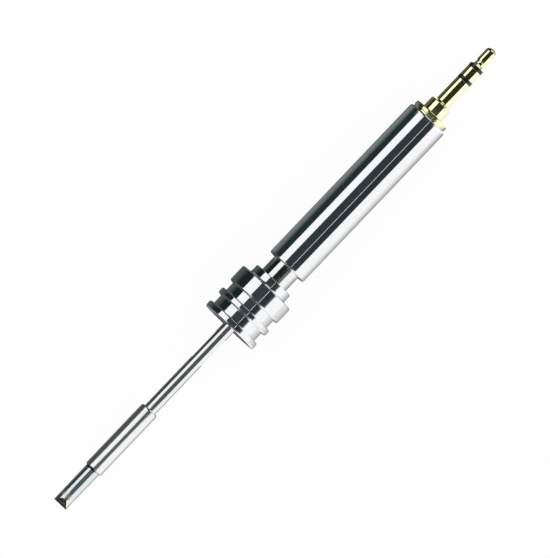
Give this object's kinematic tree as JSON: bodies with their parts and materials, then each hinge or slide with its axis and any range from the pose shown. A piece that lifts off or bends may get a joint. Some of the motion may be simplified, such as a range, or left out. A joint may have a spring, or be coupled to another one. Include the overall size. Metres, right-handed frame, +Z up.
{
  "type": "soldering iron tip",
  "caption": "Cartridge tip for a pen-size soldering iron: chisel bit, heater sleeve, stem, ribbed collar, barrel and coaxial plug.",
  "frame": {"origin": "on the surface that the part lies on, under the middle of its outer box", "axes": "+X towards the plug, with the chisel edge along Y, +Z up"},
  "size_m": [0.0952, 0.0098, 0.01],
  "materials": {
    "bit_plating": "iron plated, tinned at the chisel",
    "sleeve_steel": "polished steel",
    "stem_steel": "drawn and polished steel tube",
    "collar_chrome": "turned and bright plated",
    "neck_steel": "polished steel, a little warmer",
    "barrel_chrome": "bright plated tube",
    "contact_gold": "gold plated, polished",
    "insulator_black": "moulded, black",
    "core_ceramic": "fired alumina",
    "seal_cement": "ceramic cement",
    "heater_wire": "welded bead",
    "lead_wire": "bare alloy wire",
    "liner_film": "insulating film tube",
    "splice_tin": "tinned crimp",
    "shrink_black": "shrink sleeve",
    "jacket_red": "insulated wire",
    "jacket_black": "insulated wire",
    "washer_fibre": "vulcanised fibre",
    "lug_brass": "stamped brass",
    "solder": "solder"
  },
  "bodies": {
    "root": {"chisel_bit": "bit_plating", "heater_sleeve": "sleeve_steel", "stem_tube": "stem_steel", "collar": "collar_chrome", "neck_tube": "neck_steel", "barrel": "barrel_chrome", "sleeve_contact": "contact_gold", "ring_contact": "contact_gold", "tip_contact": "contact_gold", "insulator_rear": "insulator_black", "insulator_front": "insulator_black", "heater_core": "core_ceramic", "coil_insulator": "core_ceramic", "lead_insulator": "core_ceramic", "lead_seal": "seal_cement", "heater_coil": "heater_wire", "sensor_bead": "heater_wire", "lead_positive": "lead_wire", "lead_negative": "lead_wire", "barrel_liner": "liner_film", "splice_positive": "splice_tin", "splice_negative": "splice_tin", "shrink_sleeve_positive": "shrink_black", "shrink_sleeve_negative": "shrink_black", "wire_positive": "jacket_red", "wire_negative": "jacket_black", "ring_lug_washer": "washer_fibre", "tip_lug_washer": "washer_fibre", "ring_lug": "lug_brass", "tip_lug": "lug_brass", "ring_solder_joint": "solder", "tip_solder_joint": "solder"}
  },
  "joints": []
}
